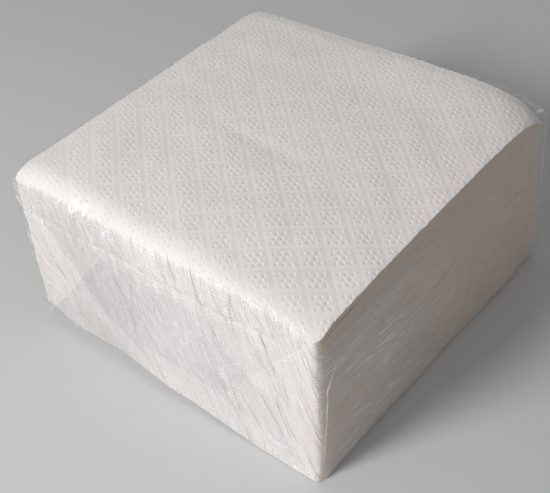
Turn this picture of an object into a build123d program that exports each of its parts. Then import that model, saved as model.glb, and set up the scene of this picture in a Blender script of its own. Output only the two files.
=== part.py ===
"""A clear film pack of white paper napkins, each folded in four, lying flat.

Millimetres, +Z up. The origin is on the ground under the middle of the pack.
-Y is the end with the second fold, -X the side with the first fold. The cut edges
are at +X and +Y.
"""
import os
from math import atan2, ceil, degrees, hypot, radians, sqrt, tan

from build123d import *

# Napkins
napkin_count = 50
open_side = 240.0  # the unfolded square sheet
sheet = 0.27  # one layer of embossed two-ply tissue
fold_gap = 0.04  # air between two layers of one napkin
stack_gap = 0.04  # air between one napkin and the next

# Embossed lattice on the face that shows
cell_x = 12.4  # diagonals of one diamond
cell_y = 10.4
lattice_turn = -3.0  # degrees, because the pattern isn't quite square to the folds
groove_width = 1.6
groove_depth = 0.13

# Film
film = 0.12
seat_gap = 0.04  # bottom napkin to the seam under it
corner_radius = 2.0  # inside, upright corners and upper edges
corner_gap = 0.3  # corner of the top napkin to the rounded corner of the film
base_crease = 0.6  # inside, lower edges, pressed tight by the weight
seam_width = 14.0  # lap of the two long edges under the pack
flap_depth = 48.0  # end flaps, from the fold to the free edge
flap_taper = 36.0  # how far each slanted edge runs in

# The soft pack leans
lean = 2.3  # how far its top stands to +Y of its base

# Sizes that follow
side = open_side / 2
napkin_height = 4 * sheet + 3 * fold_gap
pitch = napkin_height + stack_gap
stack_base = 2 * film + seat_gap
stack_top = stack_base + napkin_count * pitch - stack_gap
slack = corner_radius - (corner_radius - corner_gap) / sqrt(3)  # a square corner clears a round one
room = side + 2 * slack
room_top = stack_top + slack
pack_height = room_top + film


def leaned(height):
    """Place along Y of the middle of the pack at a height."""
    return lean * (height / pack_height - 0.5)


def hairpin(half, x):
    """Section of a slab with a pressed nose at -Y, 2 x half thick, in the plane at x."""
    turn = -side / 2 + napkin_height / 2
    step = half * tan(radians(22.5))
    corners = [
        (side / 2, -half), (turn - step, -half), (turn - half, -step),
        (turn - half, step), (turn - step, half), (side / 2, half),
    ]
    return Plane.YZ.offset(x) * make_face(Polyline(*corners, close=True))


def doubled(outer, inner, x_from, x_to):
    """A layer that runs out along the bottom, round the nose and back along the top."""
    return extrude(hairpin(outer, x_from) - hairpin(inner, x_from), x_to - x_from)


def folded_napkin():
    """One sheet folded in half at -X, then in half again at -Y, centred on its mid height."""
    outside = napkin_height / 2
    inside = fold_gap / 2
    pressed = (outside - inside) * (1 - sqrt(0.5))
    crease = -side / 2
    inner_layer = outside - sheet - fold_gap
    outer_leaf = doubled(outside, outside - sheet, crease + sheet, side / 2)
    inner_leaf = doubled(inner_layer, inside, crease + sheet, side / 2)
    first_fold = doubled(outside, inside, crease + pressed, crease + sheet)
    crease_skin = loft([hairpin(outside, crease + pressed), hairpin(outside - pressed, crease)], ruled=True)
    crease_mouth = loft([hairpin(inside, crease + pressed), hairpin(inside + pressed, crease)], ruled=True)
    return (outer_leaf + first_fold + inner_leaf + (crease_skin - crease_mouth)).solid()


def lattice_grooves():
    """Shallow V grooves that cross in diamonds, cut from above into a face at Z = 0."""
    section = Plane.YZ * make_face(Polyline(
        (-groove_width / 2, 0), (groove_width / 2, 0), (0, -groove_depth), close=True))
    groove = extrude(section, side, both=True)
    slant = degrees(atan2(cell_y, cell_x))
    reach = ceil(side / cell_x + side / cell_y) // 2 + 1
    spacing = cell_x * cell_y / hypot(cell_x, cell_y)
    offsets = [(number + 0.5) * spacing for number in range(-reach, reach)]
    turns = [lattice_turn + slant, lattice_turn - slant]
    return [Rot(0, 0, turn) * Pos(0, offset, 0) * groove for turn in turns for offset in offsets]


def loose_box(grow, slide=0.0):
    """The leaning space inside the film, grown by grow on every face and moved by slide along Y."""
    half = room / 2 + grow
    low = film - grow
    high = room_top + grow
    foot = slide + leaned(low)
    head = slide + leaned(high)
    section = Plane.YZ.offset(-half) * make_face(Polyline(
        (foot - half, low), (foot + half, low), (head + half, high), (head - half, high), close=True))
    block = extrude(section, 2 * half)
    lower = block.edges().group_by(Axis.Z)[0]
    block = fillet(block.edges() - lower, corner_radius + grow)
    return chamfer(block.edges().group_by(Axis.Z)[0], base_crease + grow)


def flap(end, layers, top):
    """An end flap folded down from the top or up from the base, lying on the layers below it."""
    fold_half = room / 2 + film - corner_radius
    free_half = fold_half - flap_taper
    fold_line = pack_height if top else 0.0
    free_line = fold_line - flap_depth if top else flap_depth
    outline = make_face(Polyline(
        (-fold_half, fold_line), (fold_half, fold_line), (free_half, free_line), (-free_half, free_line),
        close=True))
    reach = corner_radius + lean + (layers + 1) * film
    start = end * (room / 2 - corner_radius - lean / 2)
    prism = extrude(Plane.XZ.offset(-start) * outline, -end * reach)
    return loose_box(film, slide=end * layers * film) & prism


def film_wrap():
    """One sheet of film: a sleeve with a lap seam underneath and its two ends folded shut."""
    hollow = loose_box(0.0)
    skin = loose_box(film)
    for end in (-1, 1):
        skin += flap(end, 1, top=True)
        skin += flap(end, 2, top=False)
    seam = Pos(0, leaned(1.5 * film), 1.5 * film) * Box(seam_width, room - 2 * base_crease, film)
    return skin - hollow + seam


os.makedirs("parts", exist_ok=True)

napkin = folded_napkin()
for number in range(1, napkin_count + 1):
    middle = stack_base + (number - 1) * pitch + napkin_height / 2
    piece = Pos(0, leaned(middle), middle) * napkin
    if number == napkin_count:
        piece -= [Pos(0, leaned(middle), stack_top) * groove for groove in lattice_grooves()]
    export_step(piece, f"parts/napkin_{number:02d}.step")

export_step(film_wrap(), "parts/film_wrap.step")
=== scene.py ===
import math

import bmesh
import bpy
from mathutils import Matrix, Vector, noise


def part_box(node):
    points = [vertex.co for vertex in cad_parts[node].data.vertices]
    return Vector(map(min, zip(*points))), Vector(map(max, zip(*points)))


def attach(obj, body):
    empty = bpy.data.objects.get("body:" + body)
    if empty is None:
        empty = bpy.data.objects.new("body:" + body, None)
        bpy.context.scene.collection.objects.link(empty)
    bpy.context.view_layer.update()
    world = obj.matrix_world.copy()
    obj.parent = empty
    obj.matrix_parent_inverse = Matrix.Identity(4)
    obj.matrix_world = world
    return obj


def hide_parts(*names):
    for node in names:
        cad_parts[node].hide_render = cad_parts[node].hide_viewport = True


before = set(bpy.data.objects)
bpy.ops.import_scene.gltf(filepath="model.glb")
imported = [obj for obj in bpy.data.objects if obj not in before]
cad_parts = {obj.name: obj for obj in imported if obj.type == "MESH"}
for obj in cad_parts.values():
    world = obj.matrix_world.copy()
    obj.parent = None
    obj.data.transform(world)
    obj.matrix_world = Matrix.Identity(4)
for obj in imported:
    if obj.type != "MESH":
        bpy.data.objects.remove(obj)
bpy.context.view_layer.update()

# Lengths in the shape functions are millimetres; meshes are written in metres.
MM = 0.001

# Sizes from the frame
napkin_nodes = sorted(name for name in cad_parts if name.startswith("napkin_"))
first_low, first_high = (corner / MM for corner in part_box(napkin_nodes[0]))
last_low, last_high = (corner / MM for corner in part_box(napkin_nodes[-1]))
HALF = first_high.x
FOOT_Y = (first_low.y + first_high.y) / 2
LEAN = (last_low.y + last_high.y) / 2 - FOOT_Y
BASE = first_low.z
TOP = last_high.z
THICK = first_high.z - first_low.z
COUNT = len(napkin_nodes)
PITCH = (TOP - THICK - BASE) / (COUNT - 1)

# One folded napkin
FOLD_GAP = 0.04
SHEET = (THICK - 3 * FOLD_GAP) / 4
NOTCH = 0.35  # depth of the slot between two cut edges
STEPS = (200, 130, 60, 60)  # stretches of the mesh along the -Y, +X, +Y and -X sides
SIDE_ROUND = 2.6  # soft upright corners

# Embossing
CELL_X = 12.3  # diagonals of one diamond
CELL_Y = 10.5
TURN = math.radians(-2.5)  # the pattern isn't quite square to the folds
CENTRE = Vector((0.7, 0.3, 0))  # middle of one cluster of dots
PATTERN_CELLS = 23  # cells across the mesh before it is trimmed
CELL_STEPS = 16  # faces across one cell
DOT_PITCH = 4 / CELL_STEPS
GROOVE_HALF = 0.62
GROOVE_DEPTH = 0.12
DOT_HALF = 0.55
DOT_DEPTH = 0.19  # in the mesh
DOT_CRISP = 0.17  # added by the material
DOT_CRISP_HALF = 0.42
LIP_AWAY = 0.40  # middle of a dimple to the paper pushed up beside it
LIP_SHARE = 0.6

# Film
FILM_GAP = 0.6  # film to paper
FILM_ROUND = 2.4
FILM_BASE_ROUND = 1.6
FLAP_DEPTH = 48.0
FLAP_TAPER = 36.0
FLAP_LIFT = 0.15  # one folded layer to the next
FLAP_START = 1.0  # from the fold line to where its mesh starts
FLAP_INSET = 1.5  # from the pack's corner to the end of the fold line
HEM = 0.3  # width of a free edge painted white as a highlight
FILM_CUTS = (131, 131, 69)  # cuts of the sleeve's mesh along X, Y and Z
FLAP_COLUMNS = 110
FLAP_ROWS = 48
FILM_RIPPLE_SHARE = 0.4  # film spans the finest ripples of the paper under it
CREASE_SIZE = (0.8, 2.2)  # height and width of a crease that catches the light, helped by a painted glint
THREAD_SIZE = (0.3, 0.45)  # and of a thin one, white as a painted glint
CREASE_CLEAR = 0.02  # from the sleeve to the foot of a crease

# Camera, worked out from the corners of the pack in the photograph
CAMERA_PLACE = Vector((0.1883, -0.20645, 0.2659))
CAMERA_AZIMUTH = math.radians(43.33)
CAMERA_ELEVATION = math.radians(41.48)
CAMERA_ROLL = math.radians(-6.35)
CAMERA_LENS = 71.13

# Light and floor
WORLD_STRENGTH = 0.31
KEY_PLACE = (-0.157, -0.586, 0.471)
KEY_AIM = (0, 0, 0.03)
KEY_SIZE = 0.25
KEY_POWER = 4.0
KEY_COLOUR = (1.0, 0.99, 0.98)
FLOOR_HALF = 2.0
FLOOR_COLOUR = (0.60, 0.605, 0.61, 1.0)

# Colours of the paper, with a painted warm shade on the cut edges, and of what light passes through the
# film
WHITE = (0.85, 0.805, 0.775)
SHADED = (0.81, 0.765, 0.735)
# The cut edges on +X and +Y, away from the key lamp, are painted shade: tan and darker than the white paper
CUT_EDGE_PAINTED_SHADE = (0.80, 0.66, 0.54)
CUT_EDGE_PAINTED_SHADE_DARK = (0.74, 0.60, 0.49)
CLEAR = (0.985, 0.987, 0.99)
FIBRE_RELIEF = 0.35

# Where the film's painted shade and painted sheen change across the pack, in metres
LEFT_PAINTED_SHADE_FADE = (0.0, -0.035)  # painted shade: darker along X, to the left
PAINTED_SHEEN_NEAR_FADE = (0.02, -0.03)  # painted sheen: along Y, to the near corner
PAINTED_SHEEN_LOW_FADE = (0.059, 0.047)  # painted sheen: along Z, down from the upper edge


def smooth(value):
    """0 below 0, 1 above 1, and an even S between."""
    v = min(max(value, 0.0), 1.0)
    return v * v * (3 - 2 * v)


def wave(x, y=0.0, z=0.0):
    """Smooth noise between about -1 and 1."""
    return noise.noise(Vector((x, y, z)))


# Camera, light and floor


def make_camera():
    data = bpy.data.cameras.new("camera")
    data.lens = CAMERA_LENS
    data.clip_start = 0.01
    data.clip_end = 20.0
    camera = bpy.data.objects.new("camera", data)
    bpy.context.scene.collection.objects.link(camera)
    out = Vector((
        math.sin(CAMERA_AZIMUTH) * math.cos(CAMERA_ELEVATION),
        -math.cos(CAMERA_AZIMUTH) * math.cos(CAMERA_ELEVATION),
        math.sin(CAMERA_ELEVATION),
    ))
    level = Vector((0, 0, 1)).cross(out).normalized()
    axes = Matrix((level, out.cross(level), out)).transposed().to_4x4()
    turn = Matrix.Rotation(CAMERA_ROLL, 4, "Z")
    camera.matrix_world = Matrix.Translation(CAMERA_PLACE) @ axes @ turn
    bpy.context.scene.camera = camera


def make_key():
    """One soft round lamp, in front on the left."""
    data = bpy.data.lights.new("key", "AREA")
    data.shape = "DISK"
    data.size = KEY_SIZE
    data.energy = KEY_POWER
    data.color = KEY_COLOUR
    lamp = bpy.data.objects.new("key", data)
    bpy.context.scene.collection.objects.link(lamp)
    lamp.location = KEY_PLACE
    lamp.rotation_mode = "QUATERNION"
    lamp.rotation_quaternion = (Vector(KEY_AIM) - Vector(KEY_PLACE)).to_track_quat("-Z", "Y")


def make_world():
    world = bpy.data.worlds.new("studio")
    world.use_nodes = True
    background = world.node_tree.nodes["Background"]
    background.inputs["Color"].default_value = (1.0, 1.0, 1.0, 1.0)
    background.inputs["Strength"].default_value = WORLD_STRENGTH
    bpy.context.scene.world = world


def make_floor():
    bm = bmesh.new()
    bmesh.ops.create_grid(bm, x_segments=4, y_segments=4, size=FLOOR_HALF)
    mesh = bpy.data.meshes.new("floor")
    bm.to_mesh(mesh)
    bm.free()
    floor = bpy.data.objects.new("floor", mesh)
    bpy.context.scene.collection.objects.link(floor)
    material = bpy.data.materials.new("floor_pale")
    material.use_nodes = True
    shader = material.node_tree.nodes["Principled BSDF"]
    shader.inputs["Base Color"].default_value = FLOOR_COLOUR
    shader.inputs["Roughness"].default_value = 0.9
    mesh.materials.append(material)


# The soft shape of the pack
#
# s and t run from -1 to 1 across the pack along X and Y, and level from 0 at its base to 1 at
# its top. Depths and widths are in millimetres.

SWELL = 1.2  # how far the loose stack rises above its pressed height
DOME = 0.6  # and how much further in the middle
SAGS = ((1, -1, 2.2, 3), (1, -1, 1.2, 12), (-1, 1, 1.2, 6))  # side X, side Y, depth, narrowness
FILM_SAGS = SAGS + ((1, 1, 5.0, 14),)
PAPER_SAGS = SAGS + ((1, 1, 10.0, 13), (-1, -1, 1.0, 6))
RIGHT_SAG = 1.2  # edge along +X, most at its near end
PAPER_SWELL = 0.7  # share of the film's swell that the paper under it has
FRONT_ROLL = 3.0  # depths and widths of the rolled edges of the top
FRONT_ROLL_WIDTH = 10
LEFT_ROLL = 0.4
LEFT_ROLL_WIDTH = 5
BACK_ROLL = 0.4
BACK_ROLL_WIDTH = 5
RIGHT_ROLL = 0.15
RIGHT_ROLL_WIDTH = 2
PUFF = 0.9  # soft mound near the left corner
VALLEY = 0.25  # shallow dent across the middle
BROAD_UNEVEN = 0.45
SMALL_UNEVEN = 0.22
CORNER_LIFT = 3.0  # base at the left corner
PAPER_LIFT = 6.0  # what the paper there is lifted further
LEFT_ARCH = 1.6  # base along the -Y side
MIDDLE_ARCH = 2.2
ARCH_WIDTH = 8
TOP_TO_LEFT = 0.4  # the top leans this far to -X
TOP_RIGHT_OUT = 0.9  # but its +X edge stands out
LEFT_CORNER_OUT = 1.6  # and its -X -Y corner stands out to -X
FILM_FOOT = 2.0  # how far the foot spreads to +X near the back
PAPER_FOOT = 1.2
BACK_FOOT = 1.8  # and to +Y, near the far corner
FILM_LEAN = 1.1  # how far the swollen back edge stands out to +Y
PAPER_LEAN = 0.8
BELLY_X = 0.5  # how far the sides bulge at half height
BELLY_Y = 0.8
SIDE_DEPTH = 12  # the waves of the sides reach this far into the pack
SIDE_FADE = 3


def corner_weight(s, t, side_x, side_y, narrow):
    """1 at one upright edge of the pack and falling off away from it."""
    near = (1 + s * side_x) / 2 * (1 + t * side_y) / 2
    return max(near, 0.0) ** narrow


def back_swell(s, t):
    """How far the top stands out along its back edge, most towards +X."""
    return (0.3 + 1.1 * smooth((s + 0.6) / 1.5)) * smooth((t - 0.5) / 0.5)


def top_drop(s, t, film):
    """How far the top has sunk below its ideal level."""
    drop = RIGHT_SAG * smooth((s - 0.5) / 0.5) * (1 - t) / 2
    for side_x, side_y, depth, narrow in FILM_SAGS if film else PAPER_SAGS:
        drop += depth * corner_weight(s, t, side_x, side_y, narrow)
    drop -= back_swell(s, t) * (1 if film else PAPER_SWELL)
    to_front = (1 + t) * HALF
    to_left = (1 + s) * HALF
    to_back = (1 - t) * HALF
    to_right = (1 - s) * HALF
    puffy = 1 - 0.45 * smooth((s + 0.2) / 1.1)
    drop += FRONT_ROLL * puffy * max(1 - to_front / FRONT_ROLL_WIDTH, 0.0) ** 2.5
    drop += BACK_ROLL * (1 - smooth(to_back / BACK_ROLL_WIDTH))
    drop += RIGHT_ROLL * (1 - smooth(to_right / RIGHT_ROLL_WIDTH))
    if not film:
        drop += LEFT_ROLL * (1 - smooth(to_left / LEFT_ROLL_WIDTH))
    drop -= SWELL + DOME * (1 - s * s) * (1 - t * t)
    drop -= PUFF * math.exp(-((s + 0.62) / 0.22) ** 2 - ((t + 0.68) / 0.2) ** 2)
    valley = math.exp(-((t + 0.1 + 0.06 * s) / 0.05) ** 2) * math.exp(-((s + 0.1) / 0.35) ** 4)
    drop += VALLEY * valley
    drop -= BROAD_UNEVEN * wave(s * 2.1 + 5.2, t * 2.1 + 1.7)
    drop -= SMALL_UNEVEN * wave(s * 5.3 + 0.4, t * 5.3 + 9.1)
    return drop


def settle(p, film=False):
    """Moves a point of the ideal block to where it lies in the soft pack."""
    s = min(max(p.x / HALF, -1.0), 1.0)
    t = min(max(p.y / HALF, -1.0), 1.0)
    level = (p.z - BASE) / (TOP - BASE)
    up = max(level, 0.0)
    low = max(1 - level, 0.0)
    near_foot = low ** 1.5

    raised = CORNER_LIFT * corner_weight(s, t, -1, -1, 5)
    if not film:
        raised += PAPER_LIFT * corner_weight(s, t, -1, -1, 10)
    arched = LEFT_ARCH * (1 - smooth((s - 0.1) / 0.6))
    arched += MIDDLE_ARCH * math.exp(-((s + 0.34) / 0.36) ** 2)
    raised += arched * (1 - smooth((1 + t) * HALF / ARCH_WIDTH))
    z = p.z - top_drop(s, t, film) * min(up, 1.0) + raised * near_foot

    belly = 4 * level * (1 - level)
    back_right = smooth((s - 0.2) / 0.8) * smooth((t + 0.3) / 1.2)
    x = p.x + (TOP_RIGHT_OUT * smooth((s - 0.1) / 0.9) - TOP_TO_LEFT) * level
    x -= LEFT_CORNER_OUT * corner_weight(s, t, -1, -1, 4) * level ** 2
    x += (FILM_FOOT if film else PAPER_FOOT) * back_right * near_foot
    x += (s ** 3) * BELLY_X * belly * (1 - t * t)

    y = p.y + FOOT_Y + LEAN * level
    y += BACK_FOOT * corner_weight(s, t, 1, 1, 3) * low
    y += (FILM_LEAN if film else PAPER_LEAN) * back_swell(s, t) * up
    y += (t ** 3) * BELLY_Y * belly * (1 - s * s)
    return Vector((x, y, z))


def ripple(x, z, crisp):
    """Upright ripples of the folded edges on the -Y face, outward.

    crisp is the share of the finest ones.
    """
    down = TOP - z
    slant = 0.08 + 0.45 * smooth((x + 10) / 60)
    along = x - slant * down
    fine = 0.5 * crisp * abs(wave(along / 1.7, down / 11 + 4.0, 1.3))
    broad = 0.9 * wave(along / 5.5, down / 18 + 9.0, 6.1)
    shelf = -0.35 * math.exp(-((down - 12.5 - 0.5 * math.sin(x / 9)) / 0.8) ** 2)
    strength = smooth(down / 6) * (1 - 0.6 * smooth((down - 46) / 10))
    strength *= 1 - 0.6 * smooth((x - 38) / 14)
    from_ridge = x + 12.5 - 1.8 * math.sin((down - 4) / 7.5) - 0.004 * max(down - 30, 0.0) ** 2
    ridge = 0.45 * math.exp(-(from_ridge / 0.8) ** 2)
    ridge -= 0.2 * math.exp(-((from_ridge - 1.8) / 0.9) ** 2)
    ridge *= smooth((down - 3) / 8) * (1 - smooth((down - 44) / 10))
    foot = 1.4 * smooth((x + 24) / 16) * math.exp(-max(z, 0.0) / 5.0)
    hollow = -1.0 * math.exp(-((x + 24) / 9) ** 2) * math.exp(-max(z, 0.0) / 8.0)
    round_top = -2.1 * math.exp(-down / 2.7) * (1 - smooth((abs(x) - 46) / 14))
    return (fine + broad + shelf) * strength + ridge + foot + hollow + round_top


def undulation(y, z):
    """Broad soft waves of the cut edges on the +X face, outward."""
    down = TOP - z
    far = 0.8 * smooth((y + 30) / 40)
    waves = far * wave((y + 0.7 * z) / 13, (z - 0.2 * y) / 30, 2.2)
    waves += 0.35 * wave(y / 30, z / 12, 7.7)
    return smooth(down / 10) * waves


def drape(p, plan_x, plan_y, crisp=1.0):
    """Adds the waves of the two sides that show, fading into the pack."""
    to_front = max(HALF + plan_y, 0.0)
    to_right = max(HALF - plan_x, 0.0)
    if to_front < SIDE_DEPTH:
        p.y -= ripple(plan_x, p.z, crisp) * math.exp(-to_front / SIDE_FADE)
    if to_right < SIDE_DEPTH:
        p.x += undulation(plan_y, p.z) * math.exp(-to_right / SIDE_FADE)
    return p


# Embossing

ROW = Vector((CELL_X / 2, CELL_Y / 2, 0))
RISE = Vector((-CELL_X / 2, CELL_Y / 2, 0))
LATTICE = Matrix.Rotation(TURN, 3, "Z") @ Matrix((ROW, RISE, Vector((0, 0, 1)))).transposed()
LATTICE_BACK = LATTICE.inverted()
DOTS = [(a * DOT_PITCH, b * DOT_PITCH) for b in (-1, 1) for a in (-1, 0, 1)]
DOTS += [(a * DOT_PITCH, 0.0) for a in (-0.5, 0.5)]


def emboss(x, y):
    """Height of the pressed pattern at a place on the sheet."""
    where = LATTICE_BACK @ (Vector((x, y, 0)) - CENTRE)
    a = where.x - round(where.x)
    b = where.y - round(where.y)
    side = ROW.length
    to_line_a = (0.5 - abs(a)) * side
    to_line_b = (0.5 - abs(b)) * side
    groove = max(math.exp(-(to_line_a / GROOVE_HALF) ** 2), math.exp(-(to_line_b / GROOVE_HALF) ** 2))
    lip = Vector((LIP_AWAY, LIP_AWAY, 0)) * math.sqrt(0.5)
    dots = 0.0
    for dot_a, dot_b in DOTS:
        away = ROW * (a - dot_a) + RISE * (b - dot_b)
        dots -= math.exp(-away.length_squared / DOT_HALF ** 2)
        dots += LIP_SHARE * math.exp(-(away - lip).length_squared / DOT_HALF ** 2)
    return DOT_DEPTH * dots - GROOVE_DEPTH * groove


def emboss_strength(x, y):
    """The pattern is pressed flat near the folds and in patches."""
    to_edge = min(HALF + x, HALF + y, HALF - y)
    strength = 0.3 + 0.7 * smooth(to_edge / 8)
    strength *= 1 - 0.7 * corner_weight(x / HALF, y / HALF, -1, -1, 3)
    patch = 0.5 + 0.5 * wave(x / 15 + 3.3, y / 15 + 8.8)
    return strength * (0.6 + 0.65 * patch)


# Napkins


def ring_heights():
    """Levels in one napkin where its section turns, from the top down."""
    heights = []
    for layer in range(4):
        bottom = layer * (SHEET + FOLD_GAP)
        heights += [bottom, bottom + SHEET]
        if layer < 3:
            heights.append(bottom + SHEET + FOLD_GAP / 2)
    return heights[::-1]


def round_inset(height, radius):
    """How far a rounded fold of a given radius stands back at a height above its lower edge."""
    away = min(abs(height - radius), radius)
    return radius - math.sqrt(radius ** 2 - away ** 2)


def nose_inset(height, down):
    """-Y: all four layers turn together, and the noses show most near the top."""
    return (0.03 + 0.05 * math.exp(-down / 5)) * round_inset(height, THICK / 2)


def pair_inset(height):
    """-X: the layers turn in two pairs."""
    pair = 2 * SHEET + FOLD_GAP
    if abs(height - THICK / 2) < FOLD_GAP * 0.75:
        return NOTCH
    return round_inset(height if height < THICK / 2 else height - pair - FOLD_GAP, pair / 2)


def lip_inset(height):
    """+X and +Y: four cut edges with slots between them."""
    place = height % (SHEET + FOLD_GAP)
    if place > SHEET + FOLD_GAP * 0.25 and height < THICK - FOLD_GAP:
        return NOTCH
    return 0.12 if height < 0.001 or height > THICK - 0.001 else 0.03


def soft_corner(x, y, half, radius):
    """Rounds the upright corners of a square of half size half."""
    over_x = abs(x) - (half - radius)
    over_y = abs(y) - (half - radius)
    if over_x <= 0 or over_y <= 0:
        return x, y
    shrink = max(over_x, over_y) / math.hypot(over_x, over_y)
    new_x = half - radius + over_x * shrink
    new_y = half - radius + over_y * shrink
    return math.copysign(new_x, x), math.copysign(new_y, y)


def napkin_point(plan_x, plan_y, height, number):
    """Where a point of napkin number lies, from its place on the ideal folded sheet."""
    edge = HALF - 0.001
    x, y = soft_corner(plan_x, plan_y, HALF, SIDE_ROUND)
    z = BASE + number * PITCH + height
    down = TOP - z
    loose = 0.05 + 0.10 * math.exp(-down / 6)
    loose *= 1 - 0.6 * smooth((plan_x - 45) / 12)
    if plan_y < -edge:
        y += nose_inset(height, down) + loose * wave(plan_x / 14, number * 3.7, 0.5)
    if plan_y > edge:
        y -= lip_inset(height) + 0.25 * wave(plan_x / 22, number * 5.1, 2.5)
    if plan_x < -edge:
        x += pair_inset(height) + 0.2 * wave(plan_y / 22, number * 4.3, 4.5)
    if plan_x > edge:
        shown = 0.3 + 0.7 * smooth((plan_y + HALF) / 12)
        shown *= 1 - 0.7 * smooth((plan_y + 30) / 50)
        x -= shown * (lip_inset(height) + 0.28 * wave(plan_y / 24, number * 6.9, 6.5))
    return drape(settle(Vector((x, y, z))), plan_x, plan_y)


def skirt(bm, rim, heights):
    """Extrudes the rim down through the levels and closes the bottom with a fan of triangles."""
    loop = rim
    for upper, lower in zip(heights, heights[1:]):
        made = bmesh.ops.extrude_edge_only(bm, edges=loop)["geom"]
        fresh = {v for v in made if isinstance(v, bmesh.types.BMVert)}
        bmesh.ops.translate(bm, verts=list(fresh), vec=(0, 0, lower - upper))
        edges = [e for e in made if isinstance(e, bmesh.types.BMEdge)]
        loop = [e for e in edges if e.verts[0] in fresh and e.verts[1] in fresh]
    bottom = bmesh.ops.edgeloop_fill(bm, edges=loop)["faces"]
    bmesh.ops.poke(bm, faces=bottom)


def mark_sides(bm):
    """Gives the faces of an ideal block their material: 0 level, 1 +X and +Y, 2 -Y, 3 -X."""
    bmesh.ops.recalc_face_normals(bm, faces=bm.faces)
    for face in bm.faces:
        if max(face.normal.x, face.normal.y) > 0.6:
            face.material_index = 1
        elif face.normal.y < -0.6:
            face.material_index = 2
        elif face.normal.x < -0.6:
            face.material_index = 3


def finish_mesh(bm, name, materials):
    """Writes the mesh in metres, with smooth faces that point outward."""
    bmesh.ops.recalc_face_normals(bm, faces=bm.faces)
    for face in bm.faces:
        face.smooth = True
    bmesh.ops.scale(bm, vec=(MM, MM, MM), verts=bm.verts)
    mesh = bpy.data.meshes.new(name)
    bm.to_mesh(mesh)
    bm.free()
    for material in materials:
        mesh.materials.append(material)
    piece = bpy.data.objects.new(name, mesh)
    bpy.context.scene.collection.objects.link(piece)
    return piece


def perimeter_places():
    """Points round the folded sheet, from the -X -Y corner to +X first."""
    corners = ((-HALF, -HALF), (HALF, -HALF), (HALF, HALF), (-HALF, HALF))
    places = []
    for side, steps in enumerate(STEPS):
        start = Vector(corners[side])
        end = Vector(corners[(side + 1) % 4])
        places += [start.lerp(end, step / steps) for step in range(steps)]
    return places


def plain_napkin(number, materials):
    """A napkin of which only the folded and cut edges can be seen."""
    bm = bmesh.new()
    rim = bmesh.ops.create_circle(bm, cap_ends=True, segments=sum(STEPS), radius=HALF)["verts"]
    for vert, place in zip(rim, perimeter_places()):
        vert.co = (place.x, place.y, THICK)
    rim_edges = list(bm.edges)
    bmesh.ops.poke(bm, faces=list(bm.faces))
    skirt(bm, rim_edges, ring_heights())
    mark_sides(bm)
    for vert in bm.verts:
        vert.co = napkin_point(vert.co.x, vert.co.y, vert.co.z, number)
    return finish_mesh(bm, f"napkin_{number + 1:02d}_folded", materials)


def top_napkin(number, materials):
    """The napkin whose embossed face shows, on a mesh that follows the pattern."""
    bm = bmesh.new()
    steps = PATTERN_CELLS * CELL_STEPS
    bmesh.ops.create_grid(bm, x_segments=steps, y_segments=steps, size=PATTERN_CELLS / 2)
    for vert in bm.verts:
        place = CENTRE + LATTICE @ Vector((vert.co.x + 0.5, vert.co.y + 0.5, 0))
        vert.co = (place.x, place.y, THICK)
    for axis in ((1, 0, 0), (-1, 0, 0), (0, 1, 0), (0, -1, 0)):
        everything = list(bm.verts) + list(bm.edges) + list(bm.faces)
        bmesh.ops.bisect_plane(
            bm, geom=everything, dist=0.0005, plane_co=Vector(axis) * HALF, plane_no=axis, clear_outer=True)
    skirt(bm, [e for e in bm.edges if e.is_boundary], ring_heights())
    mark_sides(bm)
    pattern = bm.loops.layers.uv.new("pattern")
    for face in bm.faces:
        for loop in face.loops:
            loop[pattern].uv = (LATTICE_BACK @ (loop.vert.co - CENTRE)).xy
    for vert in bm.verts:
        x, y, height = vert.co
        p = napkin_point(x, y, height, number)
        if height > THICK - 0.001:
            p.z += emboss(x, y) * emboss_strength(x, y)
        vert.co = p
    return finish_mesh(bm, f"napkin_{number + 1:02d}_embossed", materials)


# Film

FILM_HALF = HALF + FILM_GAP
FILM_HIGH = TOP + FILM_GAP


def film_wrinkle(p):
    """Outward displacement of the loose film."""
    fine = 0.03 * wave(p.x / 3.0 + 4, p.y / 3.0, p.z / 7)
    streaks = 0.07 * wave((p.x + p.y) / 12, (p.y - p.x) / 4 + 7, p.z / 9)
    return fine + streaks


def film_point(p, lift=0.0):
    """Where a point of the ideal wrapped block lies, raised by lift from the sleeve."""
    radius = FILM_ROUND if p.z > FILM_HIGH / 2 else FILM_BASE_ROUND
    inner = FILM_HALF - radius
    core = Vector((
        min(max(p.x, -inner), inner),
        min(max(p.y, -inner), inner),
        min(max(p.z, radius), FILM_HIGH - radius),
    ))
    out = (p - core).normalized()
    loose = smooth((p.z - 0.3) / 3)
    ideal = core + out * (radius + lift + film_wrinkle(p) * loose)
    place = drape(settle(ideal, film=True), ideal.x, ideal.y, FILM_RIPPLE_SHARE)
    place.z = max(place.z, 0.0)
    return place


def film_sleeve(materials):
    """The closed skin of film round the stack."""
    bm = bmesh.new()
    bmesh.ops.create_cube(bm, size=1.0)
    bmesh.ops.scale(bm, vec=(FILM_HALF * 2, FILM_HALF * 2, FILM_HIGH), verts=bm.verts)
    bmesh.ops.translate(bm, vec=(0, 0, FILM_HIGH / 2), verts=bm.verts)
    for axis, cuts in enumerate(FILM_CUTS):
        edges = [e for e in bm.edges if abs(e.verts[0].co[axis] - e.verts[1].co[axis]) > 1.0]
        bmesh.ops.subdivide_edges(bm, edges=edges, cuts=cuts, use_grid_fill=True)
    mark_sides(bm)
    for vert in bm.verts:
        vert.co = film_point(vert.co)
    return finish_mesh(bm, "film_sleeve", materials)


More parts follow.
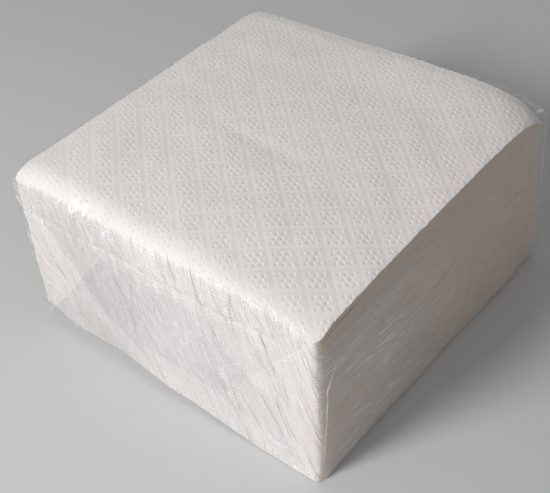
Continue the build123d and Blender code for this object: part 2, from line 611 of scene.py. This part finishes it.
def end_flap(end, top, layer, materials):
    """One folded flap at an end of the sleeve, from its fold line to its free edge."""
    bm = bmesh.new()
    bmesh.ops.create_grid(bm, x_segments=FLAP_COLUMNS, y_segments=FLAP_ROWS, size=0.5)
    for face in bm.faces:
        middle = face.calc_center_median()
        at_side = abs(middle.x) > 0.5 - 1 / FLAP_COLUMNS
        at_end = middle.y > 0.5 - 1 / FLAP_ROWS
        face.material_index = 1 if at_side or at_end else 0
    fold_half = FILM_HALF - FLAP_INSET
    for vert in bm.verts:
        run = vert.co.y + 0.5
        half = fold_half - FLAP_TAPER * run
        inset = (0.5 - abs(vert.co.x)) * FLAP_COLUMNS
        aside = 2 * abs(vert.co.x) * half
        if inset < 1.5:
            aside = min(aside, half - HEM * inset)
        x = math.copysign(aside, vert.co.x)
        down = FLAP_START + (FLAP_DEPTH - FLAP_START) * run
        if 0.5 < (1 - run) * FLAP_ROWS < 1.5:
            down = FLAP_DEPTH - HEM
        z = FILM_HIGH - down if top else down
        vert.co = film_point(Vector((x, end * FILM_HALF, z)), lift=layer * FLAP_LIFT)
    name = f"film_flap_{'front' if end < 0 else 'back'}_{'upper' if top else 'lower'}"
    return finish_mesh(bm, name, materials)


def film_crease(name, route, height, width, materials):
    """A pinched ridge of film along a route over the sleeve."""
    points = [Vector(place) for place in route]
    lengths = [0.0]
    for a, b in zip(points, points[1:]):
        lengths.append(lengths[-1] + (b - a).length)
    bm = bmesh.new()
    bmesh.ops.create_grid(bm, x_segments=int(lengths[-1] / 0.6), y_segments=4, size=0.5)
    for vert in bm.verts:
        run = (vert.co.x + 0.5) * lengths[-1]
        leg = max(i for i in range(len(points) - 1) if lengths[i] <= run + 1e-6)
        here = (run - lengths[leg]) / (lengths[leg + 1] - lengths[leg])
        middle = points[leg].lerp(points[leg + 1], here)
        ahead = (points[leg + 1] - points[leg]).normalized()
        face_out = Vector((0, 0, 1))
        if middle.x > FILM_HALF - 0.1:
            face_out = Vector((1, 0, 0))
        elif middle.y < 1 - FILM_HALF:
            face_out = Vector((0, -1, 0))
        across = ahead.cross(face_out).normalized()
        fade = smooth((vert.co.x + 0.5) * 8) * smooth((0.5 - vert.co.x) * 8)
        sway = 0.4 * wave(run / 6, width, height)
        place = middle + across * (vert.co.y * width + sway)
        tent = height * fade * (1 - 2 * abs(vert.co.y))
        vert.co = film_point(place, lift=tent + CREASE_CLEAR)
    return finish_mesh(bm, name, materials)


# Materials


def new_material(name):
    material = bpy.data.materials.new(name)
    material.use_nodes = True
    return material, material.node_tree.nodes, material.node_tree.links


def tissue_group():
    """Fibre and crepe of tissue paper: a height and a slight colour change."""
    group = bpy.data.node_groups.new("tissue_surface", "ShaderNodeTree")
    group.interface.new_socket("Paper Colour", in_out="INPUT", socket_type="NodeSocketColor")
    group.interface.new_socket("Shade Colour", in_out="INPUT", socket_type="NodeSocketColor")
    group.interface.new_socket("Fibre Scale", in_out="INPUT", socket_type="NodeSocketFloat")
    group.interface.new_socket("Colour", in_out="OUTPUT", socket_type="NodeSocketColor")
    group.interface.new_socket("Height", in_out="OUTPUT", socket_type="NodeSocketFloat")
    nodes, links = group.nodes, group.links
    given = nodes.new("NodeGroupInput")
    out = nodes.new("NodeGroupOutput")
    place = nodes.new("ShaderNodeTexCoord")
    fibre = nodes.new("ShaderNodeTexNoise")
    fibre.inputs["Detail"].default_value = 6.0
    fibre.inputs["Roughness"].default_value = 0.65
    fibre.inputs["Distortion"].default_value = 1.2
    cloud = nodes.new("ShaderNodeTexNoise")
    cloud.inputs["Scale"].default_value = 90.0
    cloud.inputs["Detail"].default_value = 3.0
    mix = nodes.new("ShaderNodeMix")
    mix.data_type = "RGBA"
    links.new(place.outputs["Object"], fibre.inputs["Vector"])
    links.new(place.outputs["Object"], cloud.inputs["Vector"])
    links.new(given.outputs["Fibre Scale"], fibre.inputs["Scale"])
    links.new(cloud.outputs["Fac"], mix.inputs["Factor"])
    links.new(given.outputs["Shade Colour"], mix.inputs["A"])
    links.new(given.outputs["Paper Colour"], mix.inputs["B"])
    links.new(mix.outputs["Result"], out.inputs["Colour"])
    links.new(fibre.outputs["Fac"], out.inputs["Height"])
    return group


def calculate(tree, operation, first, second=0.0):
    """Adds a calculation to a node tree; first and second are sockets or numbers."""
    node = tree.nodes.new("ShaderNodeMath")
    node.operation = operation
    for socket, value in zip(node.inputs, (first, second)):
        if isinstance(value, (int, float)):
            socket.default_value = value
        else:
            tree.links.new(value, socket)
    return node.outputs["Value"]


def dot_group():
    """Clusters of dimples in rows of three, two and three, in every cell of the pattern."""
    group = bpy.data.node_groups.new("dot_clusters", "ShaderNodeTree")
    group.interface.new_socket("Place In Cells", in_out="INPUT", socket_type="NodeSocketVector")
    group.interface.new_socket("Dot Size", in_out="INPUT", socket_type="NodeSocketFloat")
    group.interface.new_socket("Height", in_out="OUTPUT", socket_type="NodeSocketFloat")
    given = group.nodes.new("NodeGroupInput")
    out = group.nodes.new("NodeGroupOutput")
    parts = group.nodes.new("ShaderNodeSeparateXYZ")
    group.links.new(given.outputs["Place In Cells"], parts.inputs["Vector"])

    def calc(operation, first, second=0.0):
        return calculate(group, operation, first, second)

    def within_cell(value):
        return calc("SUBTRACT", calc("FRACT", calc("ADD", value, 0.5)), 0.5)

    a = within_cell(parts.outputs["X"])
    b = within_cell(parts.outputs["Y"])
    row = calc("ROUND", calc("DIVIDE", b, DOT_PITCH))
    off_b = calc("SUBTRACT", b, calc("MULTIPLY", row, DOT_PITCH))
    outer_row = calc("MINIMUM", calc("ABSOLUTE", row), 1.0)
    half_step = calc("MULTIPLY", calc("SUBTRACT", 1.0, outer_row), DOT_PITCH / 2)
    stepped = calc("ADD", a, half_step)
    column = calc("ROUND", calc("DIVIDE", stepped, DOT_PITCH))
    off_a = calc("SUBTRACT", stepped, calc("MULTIPLY", column, DOT_PITCH))
    reach = calc("SUBTRACT", 1.5 * DOT_PITCH, half_step)
    inside = calc("LESS_THAN", calc("ABSOLUTE", a), reach)
    inside = calc("MULTIPLY", inside, calc("LESS_THAN", calc("ABSOLUTE", b), 1.5 * DOT_PITCH))
    x = calc("MULTIPLY", calc("SUBTRACT", off_a, off_b), CELL_X / 2)
    y = calc("MULTIPLY", calc("ADD", off_a, off_b), CELL_Y / 2)
    size = given.outputs["Dot Size"]

    def mound(aside):
        over_x = calc("DIVIDE", calc("SUBTRACT", x, aside), size)
        over_y = calc("DIVIDE", calc("SUBTRACT", y, aside), size)
        away = calc("ADD", calc("MULTIPLY", over_x, over_x), calc("MULTIPLY", over_y, over_y))
        return calc("EXPONENT", calc("MULTIPLY", away, -1.0))

    lip = calc("MULTIPLY", mound(LIP_AWAY * math.sqrt(0.5)), LIP_SHARE)
    height = calc("MULTIPLY", calc("SUBTRACT", lip, mound(0.0)), inside)
    group.links.new(height, out.inputs["Height"])
    return group


def add_dots(material, group):
    """Adds the crisp dimples to a paper material, over its fibre."""
    tree = material.node_tree
    shader = tree.nodes["Principled BSDF"]
    pattern = tree.nodes.new("ShaderNodeUVMap")
    pattern.uv_map = "pattern"
    dots = tree.nodes.new("ShaderNodeGroup")
    dots.node_tree = group
    dots.inputs["Dot Size"].default_value = DOT_CRISP_HALF
    relief = tree.nodes.new("ShaderNodeBump")
    relief.inputs["Strength"].default_value = 1.0
    relief.inputs["Distance"].default_value = DOT_CRISP * MM
    tree.links.new(pattern.outputs["UV"], dots.inputs["Place In Cells"])
    tree.links.new(dots.outputs["Height"], relief.inputs["Height"])
    fibre_normal = shader.inputs["Normal"].links[0].from_socket
    tree.links.new(fibre_normal, relief.inputs["Normal"])
    tree.links.new(relief.outputs["Normal"], shader.inputs["Normal"])


def paper_material(name, group, paper, shade):
    material, nodes, links = new_material(name)
    shader = nodes["Principled BSDF"]
    shader.inputs["Roughness"].default_value = 0.92
    shader.inputs["Specular IOR Level"].default_value = 0.2
    shader.inputs["Sheen Weight"].default_value = 0.15
    surface = nodes.new("ShaderNodeGroup")
    surface.node_tree = group
    surface.inputs["Paper Colour"].default_value = (*paper, 1.0)
    surface.inputs["Shade Colour"].default_value = (*shade, 1.0)
    surface.inputs["Fibre Scale"].default_value = 1400.0
    relief = nodes.new("ShaderNodeBump")
    relief.inputs["Strength"].default_value = FIBRE_RELIEF
    relief.inputs["Distance"].default_value = 0.0001
    links.new(surface.outputs["Colour"], shader.inputs["Base Color"])
    links.new(surface.outputs["Height"], relief.inputs["Height"])
    links.new(relief.outputs["Normal"], shader.inputs["Normal"])
    return material


def stretched_group():
    """Soft noise drawn out along chosen axes, with creases and narrow ridges where it passes its middle."""
    group = bpy.data.node_groups.new("stretched_noise", "ShaderNodeTree")
    group.interface.new_socket("Turn", in_out="INPUT", socket_type="NodeSocketVector")
    group.interface.new_socket("Size", in_out="INPUT", socket_type="NodeSocketVector")
    group.interface.new_socket("Value", in_out="OUTPUT", socket_type="NodeSocketFloat")
    group.interface.new_socket("Crease", in_out="OUTPUT", socket_type="NodeSocketFloat")
    group.interface.new_socket("Ridge", in_out="OUTPUT", socket_type="NodeSocketFloat")
    nodes, links = group.nodes, group.links
    given = nodes.new("NodeGroupInput")
    out = nodes.new("NodeGroupOutput")
    place = nodes.new("ShaderNodeTexCoord")
    draw_out = nodes.new("ShaderNodeMapping")
    draw_out.vector_type = "TEXTURE"
    texture = nodes.new("ShaderNodeTexNoise")
    texture.inputs["Scale"].default_value = 1.0
    texture.inputs["Detail"].default_value = 1.0
    texture.inputs["Roughness"].default_value = 0.5
    texture.inputs["Distortion"].default_value = 0.25
    links.new(place.outputs["Object"], draw_out.inputs["Vector"])
    links.new(given.outputs["Turn"], draw_out.inputs["Rotation"])
    links.new(given.outputs["Size"], draw_out.inputs["Scale"])
    links.new(draw_out.outputs["Vector"], texture.inputs["Vector"])
    value = texture.outputs["Fac"]
    crease = calculate(group, "ABSOLUTE", calculate(group, "SUBTRACT", value, 0.5))
    links.new(value, out.inputs["Value"])
    links.new(calculate(group, "MULTIPLY", crease, 2.0), out.inputs["Crease"])
    from_ridge = calculate(group, "POWER", calculate(group, "DIVIDE", crease, 0.03), 2.0)
    ridge = calculate(group, "EXPONENT", calculate(group, "MULTIPLY", from_ridge, -1.0))
    links.new(ridge, out.inputs["Ridge"])
    return group


def stretched(tree, group, turn, size):
    """Adds the stretched noise to a material: turn in degrees, size in millimetres."""
    node = tree.nodes.new("ShaderNodeGroup")
    node.node_tree = group
    node.inputs["Turn"].default_value = [math.radians(angle) for angle in turn]
    node.inputs["Size"].default_value = [length * MM for length in size]
    return node


def add_relief(tree, shader, height, depth):
    """Adds a relief to what a shader's normal already has: depth in millimetres."""
    relief = tree.nodes.new("ShaderNodeBump")
    relief.inputs["Strength"].default_value = 1.0
    relief.inputs["Distance"].default_value = depth * MM
    tree.links.new(height, relief.inputs["Height"])
    if shader.inputs["Normal"].links:
        tree.links.new(shader.inputs["Normal"].links[0].from_socket, relief.inputs["Normal"])
    tree.links.new(relief.outputs["Normal"], shader.inputs["Normal"])


def crumple_paper(material, group, turn, size, depth):
    """Adds soft creases and narrow ridges to a paper material."""
    tree = material.node_tree
    shader = tree.nodes["Principled BSDF"]
    broad = stretched(tree, group, turn, size)
    narrow = stretched(tree, group, turn, [length * 0.5 for length in size])
    add_relief(tree, shader, broad.outputs["Crease"], depth)
    add_relief(tree, shader, narrow.outputs["Ridge"], depth * 0.12)


def fade(tree, axis, start, end, least=0.0):
    """A mask along X, Y or Z: least at start and 1 at end, both in metres."""
    place = tree.nodes.new("ShaderNodeTexCoord")
    parts = tree.nodes.new("ShaderNodeSeparateXYZ")
    ramp = tree.nodes.new("ShaderNodeMapRange")
    ramp.interpolation_type = "SMOOTHSTEP"
    ramp.inputs["From Min"].default_value = start
    ramp.inputs["From Max"].default_value = end
    ramp.inputs["To Min"].default_value = least
    tree.links.new(place.outputs["Object"], parts.inputs["Vector"])
    tree.links.new(parts.outputs[axis], ramp.inputs["Value"])
    return ramp.outputs["Result"]


def film_material(name, group, tint, roughness, turn, size, depth, haze_and_painted_sheen, streaks,
                  left_painted_shade=None, painted_sheen_fades_far=False):
    """Clear film: glossy most of all at a glancing angle, with a little haze and a painted sheen of diffuse
    white in streaks.

    Film at the left can have a painted shade there, a darker tint. The painted sheen can be fainter along
    the upper edge and far from the near corner.
    """
    material, nodes, links = new_material(name)
    tree = material.node_tree
    nodes.remove(nodes["Principled BSDF"])
    clear = nodes.new("ShaderNodeBsdfTransparent")
    clear.inputs["Color"].default_value = (*tint, 1.0)
    # Painted shade: the film's tint darkens towards the left
    if left_painted_shade:
        left_painted_shade_mix = nodes.new("ShaderNodeMix")
        left_painted_shade_mix.data_type = "RGBA"
        left_painted_shade_mix.inputs["A"].default_value = (*tint, 1.0)
        left_painted_shade_mix.inputs["B"].default_value = (*left_painted_shade, 1.0)
        links.new(fade(tree, "X", *LEFT_PAINTED_SHADE_FADE), left_painted_shade_mix.inputs["Factor"])
        links.new(left_painted_shade_mix.outputs["Result"], clear.inputs["Color"])
    gloss = nodes.new("ShaderNodeBsdfGlossy")
    gloss.inputs["Roughness"].default_value = roughness
    gloss.inputs["Color"].default_value = (1.0, 1.0, 1.0, 1.0)
    # Diffuse white for a little haze and for a painted sheen
    haze_and_sheen_white = nodes.new("ShaderNodeBsdfDiffuse")
    haze_and_sheen_white.inputs["Color"].default_value = (0.93, 0.93, 0.95, 1.0)

    wrinkle = stretched(tree, group, turn, size)
    fine = stretched(tree, group, turn, [length * 0.3 for length in size])
    add_relief(tree, gloss, wrinkle.outputs["Crease"], depth)
    add_relief(tree, gloss, fine.outputs["Ridge"], depth * 0.3)

    # How much of the light is reflected
    facing = nodes.new("ShaderNodeLayerWeight")
    facing.inputs["Blend"].default_value = 0.5
    links.new(gloss.inputs["Normal"].links[0].from_socket, facing.inputs["Normal"])
    share = nodes.new("ShaderNodeMapRange")
    share.inputs["To Min"].default_value = 0.035
    share.inputs["To Max"].default_value = 0.9
    links.new(calculate(tree, "POWER", facing.outputs["Facing"], 5.0), share.inputs["Value"])

    # How much haze and painted sheen the film shows, in streaks and patches
    cloud = stretched(tree, group, (0, 0, 0), (18, 26, 16))
    patchy = nodes.new("ShaderNodeMapRange")
    patchy.inputs["From Min"].default_value = 0.38
    patchy.inputs["From Max"].default_value = 0.62
    patchy.inputs["To Min"].default_value = 0.6
    patchy.inputs["To Max"].default_value = 1.25
    links.new(cloud.outputs["Value"], patchy.inputs["Value"])
    streaky = calculate(tree, "MULTIPLY", fine.outputs["Ridge"], streaks)
    haze_and_sheen_share = calculate(tree, "ADD", streaky, haze_and_painted_sheen)
    haze_and_sheen_share = calculate(tree, "MULTIPLY", haze_and_sheen_share, patchy.outputs["Result"])
    if painted_sheen_fades_far:
        near = fade(tree, "Y", *PAINTED_SHEEN_NEAR_FADE, least=0.3)
        low = fade(tree, "Z", *PAINTED_SHEEN_LOW_FADE, least=0.1)
        haze_and_sheen_share = calculate(tree, "MULTIPLY", haze_and_sheen_share, near)
        haze_and_sheen_share = calculate(tree, "MULTIPLY", haze_and_sheen_share, low)

    # Light on its way to a lamp passes as through plain clear film
    path = nodes.new("ShaderNodeLightPath")
    lit = calculate(tree, "SUBTRACT", 1.0, path.outputs["Is Shadow Ray"])
    haze_and_sheen_mix = nodes.new("ShaderNodeMixShader")
    links.new(calculate(tree, "MULTIPLY", haze_and_sheen_share, lit), haze_and_sheen_mix.inputs["Fac"])
    links.new(clear.outputs["BSDF"], haze_and_sheen_mix.inputs[1])
    links.new(haze_and_sheen_white.outputs["BSDF"], haze_and_sheen_mix.inputs[2])
    mix = nodes.new("ShaderNodeMixShader")
    links.new(calculate(tree, "MULTIPLY", share.outputs["Result"], lit), mix.inputs["Fac"])
    links.new(haze_and_sheen_mix.outputs["Shader"], mix.inputs[1])
    links.new(gloss.outputs["BSDF"], mix.inputs[2])
    links.new(mix.outputs["Shader"], nodes["Material Output"].inputs["Surface"])
    return material


# Putting it together

bpy.context.scene.view_settings.view_transform = "Standard"
make_camera()
make_world()
make_key()
make_floor()

# Paper
tissue = tissue_group()
drawn_out = stretched_group()
embossed_paper = paper_material("tissue_embossed", tissue, WHITE, SHADED)
add_dots(embossed_paper, dot_group())
folded_paper = paper_material("tissue_folded", tissue, WHITE, SHADED)
left_paper = paper_material("tissue_folded_left", tissue, WHITE, SHADED)
# The cut edges' paper carries a painted warm shade in its colour
cut_edge_paper_painted_shade = paper_material("tissue_cut_edge_painted_shade", tissue, CUT_EDGE_PAINTED_SHADE, CUT_EDGE_PAINTED_SHADE_DARK)
crumple_paper(embossed_paper, drawn_out, (0, 0, 25), (12, 26, 30), 0.22)
crumple_paper(folded_paper, drawn_out, (0, -24, 0), (8, 50, 42), 1.9)
crumple_paper(left_paper, drawn_out, (8, 0, 0), (50, 10, 36), 0.8)
crumple_paper(cut_edge_paper_painted_shade, drawn_out, (6, 0, 0), (20, 40, 3), 0.2)

# Film: how its wrinkles run on each side
upright = {"turn": (0, -24, 0), "size": (7, 50, 40)}
slanting = {"turn": (-5, 0, 0), "size": (20, 90, 5)}
on_top = {"turn": (0, 0, 40), "size": (5, 18, 8)}
on_left = {"turn": (8, 0, 0), "size": (50, 9, 34)}
level_film = film_material(
    "clear_film", drawn_out, CLEAR, 0.5, depth=0.35, haze_and_painted_sheen=0.03, streaks=0.08, **on_top)
# The cut side's milky streaks are mostly painted sheen, standing in for reflections
cut_side_film = film_material(
    "clear_film_cut_side_painted_sheen", drawn_out, (0.97, 0.972, 0.98), 0.3, depth=0.35, haze_and_painted_sheen=0.3, streaks=0.3,
    painted_sheen_fades_far=True, **slanting)
# The folded side and the flaps darken to the left in painted shade
folded_side_film = film_material(
    "clear_film_folded_side", drawn_out, CLEAR, 0.5, depth=0.6, haze_and_painted_sheen=0.02, streaks=0.15,
    left_painted_shade=(0.935, 0.934, 0.933), **upright)
left_film = film_material(
    "clear_film_left", drawn_out, CLEAR, 0.4, depth=0.5, haze_and_painted_sheen=0.02, streaks=0.1, **on_left)
flap_film = film_material(
    "clear_film_flap", drawn_out, (0.967, 0.969, 0.972), 0.45, depth=0.5, haze_and_painted_sheen=0.02, streaks=0.1,
    left_painted_shade=(0.935, 0.938, 0.943), **upright)
# The flaps' free edges: a thin painted highlight in white
hem_film = film_material(
    "clear_film_hem_painted_highlight", drawn_out, (0.96, 0.96, 0.96), 0.2, depth=0.2, haze_and_painted_sheen=0.26, streaks=0.1, **upright)
# Threads: thin ridges whose white is a painted glint
thread_film = film_material(
    "clear_film_thread_painted_glint", drawn_out, CLEAR, 0.2, depth=0.1, haze_and_painted_sheen=0.38, streaks=0.1, **upright)
# The creases' white is partly a painted glint, on top of their real gloss
creased_film = film_material(
    "clear_film_creased_painted_glint", drawn_out, CLEAR, 0.2, depth=0.15, haze_and_painted_sheen=0.18, streaks=0.1, **upright)

for number in range(COUNT):
    if number == COUNT - 1:
        piece = top_napkin(number, [embossed_paper, cut_edge_paper_painted_shade, folded_paper, left_paper])
    else:
        piece = plain_napkin(number, [folded_paper, cut_edge_paper_painted_shade, folded_paper, left_paper])
    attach(piece, "root")
    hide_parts(napkin_nodes[number])

sleeve = film_sleeve([level_film, cut_side_film, folded_side_film, left_film])
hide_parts("film_wrap")
film_pieces = [sleeve]
for end in (-1, 1):
    film_pieces.append(end_flap(end, True, 1, [flap_film, hem_film]))
    film_pieces.append(end_flap(end, False, 2, [flap_film, hem_film]))

# Routes over the ideal block of the creases that catch the light and of thin ones, both with a painted
# glint in white
FRONT = -FILM_HALF
RIGHT = FILM_HALF
creases = {
    "near_edge": ((44, FRONT + 2, FILM_HIGH), (48, FRONT, FILM_HIGH - 3)),
    "mid_edge": ((-29, FRONT + 3, FILM_HIGH), (-28, FRONT, FILM_HIGH - 4)),
    "mid_edge_left": ((-34, FRONT + 3, FILM_HIGH), (-32, FRONT, FILM_HIGH - 3)),
    "left_corner": ((-60, FRONT, 60), (-57, FRONT, 58), (-54, FRONT, 58.5)),
    "left_corner_low": ((-59.5, FRONT, 56), (-57, FRONT, 53), (-55, FRONT, 51)),
    "left_fold": ((-60, FRONT, 40), (-52, FRONT, 30), (-42, FRONT, 24)),
    "front_foot": ((40, FRONT, 9.5), (45, FRONT, 8), (50, FRONT, 8.5)),
    "near_foot": ((49, FRONT, 4.5), (54, FRONT, 3.5), (59, FRONT, 4.5)),
}
threads = {
    "near_top": (
        (47.5, FRONT + 4.5, FILM_HIGH), (53, FRONT + 2.2, FILM_HIGH),
        (57, FRONT + 0.5, FILM_HIGH), (60.2, FRONT, FILM_HIGH - 2.5)),
    "near_upright": (
        (RIGHT, -59.5, 58), (RIGHT, -54.5, 50), (RIGHT, -53, 45.5), (RIGHT, -55.7, 43),
        (RIGHT, -57.3, 39.5), (RIGHT, -57.6, 27.5), (RIGHT, -58.8, 22), (RIGHT, -60.2, 9)),
    "left_glint": ((-60, FRONT, 55), (-58, FRONT, 52.5), (-55.5, FRONT, 49.5)),
    "far_upright": ((RIGHT, RIGHT - 1.5, 61), (RIGHT, RIGHT - 0.8, 45), (RIGHT, RIGHT - 0.8, 30)),
    "foot_upper": ((46, FRONT, 10), (49, FRONT, 8.8), (51.5, FRONT, 7.5)),
    "foot_lower": ((50, FRONT, 2.6), (54, FRONT, 2.2), (57, FRONT, 3.2)),
}
for name, route in creases.items():
    film_pieces.append(film_crease(f"film_crease_{name}", route, *CREASE_SIZE, [creased_film]))
for name, route in threads.items():
    film_pieces.append(film_crease(f"film_thread_{name}", route, *THREAD_SIZE, [thread_film]))
for piece in film_pieces:
    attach(piece, "root")
